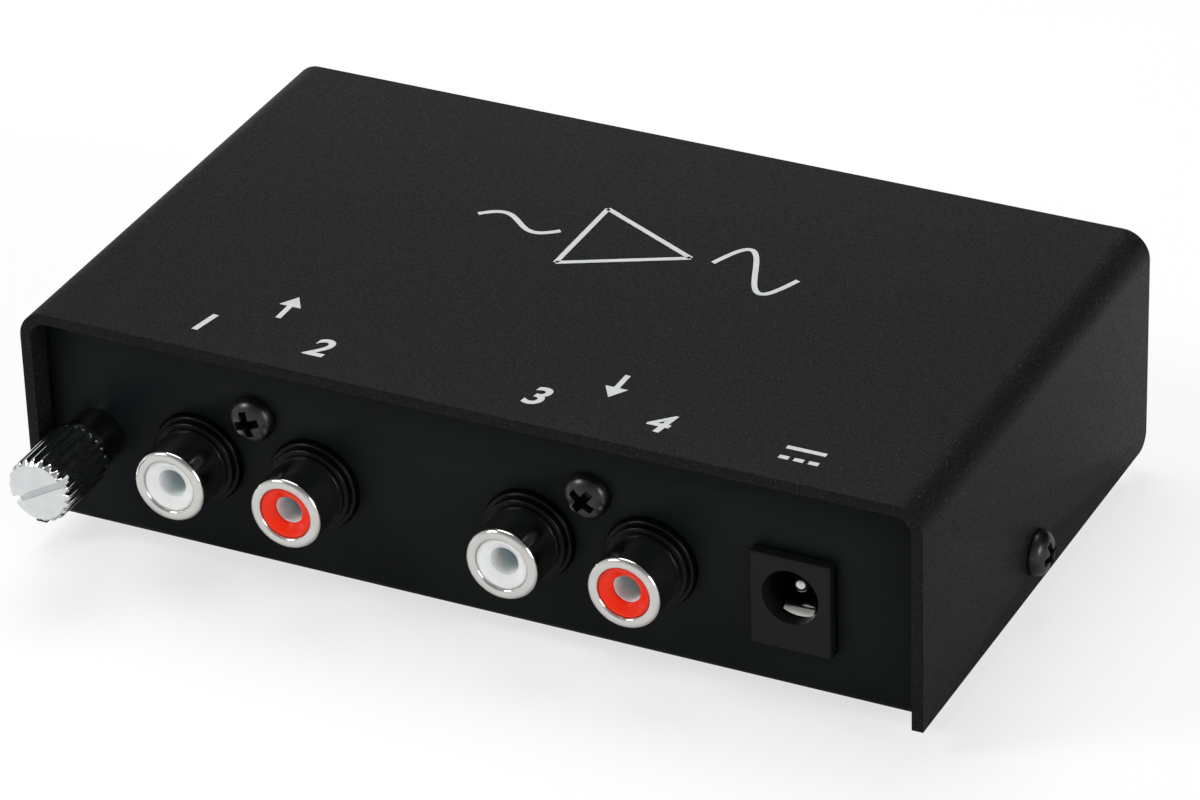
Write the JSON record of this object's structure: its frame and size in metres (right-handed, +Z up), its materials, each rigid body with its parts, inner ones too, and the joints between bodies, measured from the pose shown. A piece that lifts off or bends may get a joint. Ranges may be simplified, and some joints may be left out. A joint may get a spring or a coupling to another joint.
{
  "type": "phono preamplifier",
  "caption": "Small low box with a folded lid over a recessed panel of phono sockets, a barrel power socket and a fluted thumbscrew for an earth wire.",
  "frame": {"origin": "middle of the bounding box at the bottom of the rubber feet", "axes": "+X along the case towards the power socket, -Y out of the socket panel, +Z up through the lid"},
  "size_m": [0.1084, 0.0726, 0.0293],
  "materials": {
    "lid_powder_coat": "fine matte texture",
    "chassis_paint": "satin",
    "foot_rubber": "matte",
    "black_screw": "satin",
    "socket_plastic": "satin",
    "dc_plastic": "matte",
    "dc_pin_plate": "polished",
    "dc_leaf_plate": "satin",
    "tinned_tag": "satin",
    "terminal_post_plate": "polished",
    "washer_plate": "polished",
    "terminal_plate": "polished",
    "zinc_nut": "satin",
    "board_laminate": "satin",
    "standoff_plate": "satin",
    "zinc_screw": "satin",
    "capacitor_sleeve": "gloss",
    "film_box": "satin",
    "chip_epoxy": "matte",
    "resistor_lacquer": "gloss",
    "diode_epoxy": "satin",
    "shell_plate": "polished",
    "white_insulator": "satin",
    "red_insulator": "satin",
    "contact_plate": "satin"
  },
  "bodies": {
    "case": {"lid": "lid_powder_coat", "chassis": "chassis_paint", "rubber_feet": "foot_rubber", "lid_screws": "black_screw", "jack_screws": "black_screw", "input_jack_housing": "socket_plastic", "output_jack_housing": "socket_plastic", "dc_jack_housing": "dc_plastic", "dc_center_pin": "dc_pin_plate", "dc_leaf_terminal": "tinned_tag", "ground_post": "terminal_post_plate", "ground_lug": "tinned_tag", "ground_nut": "zinc_nut", "circuit_board": "board_laminate", "board_standoffs": "standoff_plate", "board_screws": "zinc_screw", "electrolytic_capacitors": "capacitor_sleeve", "power_capacitor": "capacitor_sleeve", "film_capacitors": "film_box", "amplifier_chips": "chip_epoxy", "resistors": "resistor_lacquer", "power_diode": "diode_epoxy", "voltage_regulator": "chip_epoxy", "input_left_shell": "shell_plate", "input_left_insulator": "white_insulator", "input_left_contact": "contact_plate", "input_right_shell": "shell_plate", "input_right_insulator": "red_insulator", "input_right_contact": "contact_plate", "output_left_shell": "shell_plate", "output_left_insulator": "white_insulator", "output_left_contact": "contact_plate", "output_right_shell": "shell_plate", "output_right_insulator": "red_insulator", "output_right_contact": "contact_plate"},
    "terminal_washer": {"ground_washer": "washer_plate"},
    "terminal_screw": {"ground_thumbscrew": "terminal_plate"},
    "dc_leaf": {"dc_leaf_contact": "dc_leaf_plate"}
  },
  "joints": [
    {"name": "terminal_travel", "type": "slide", "parent": "case", "child": "terminal_washer", "axis": [0, -1, 0], "range_m": [0, 0.00313]},
    {"name": "terminal_turn", "type": "hinge", "parent": "terminal_washer", "child": "terminal_screw", "pos_m": [-0.0451, -0.02772, 0.014], "axis": [0, -1, 0], "range_deg": [0, 2251]},
    {"name": "dc_leaf_flex", "type": "hinge", "parent": "case", "child": "dc_leaf", "pos_m": [0.03685, -0.01228, 0.01052], "axis": [1, 0, 0], "range_deg": [0, 6], "stiffness_Nm_per_rad": 0.02}
  ],
  "couplings": [
    {"joint": "terminal_turn", "follows": "terminal_travel", "rad_per_m": 12566}
  ]
}
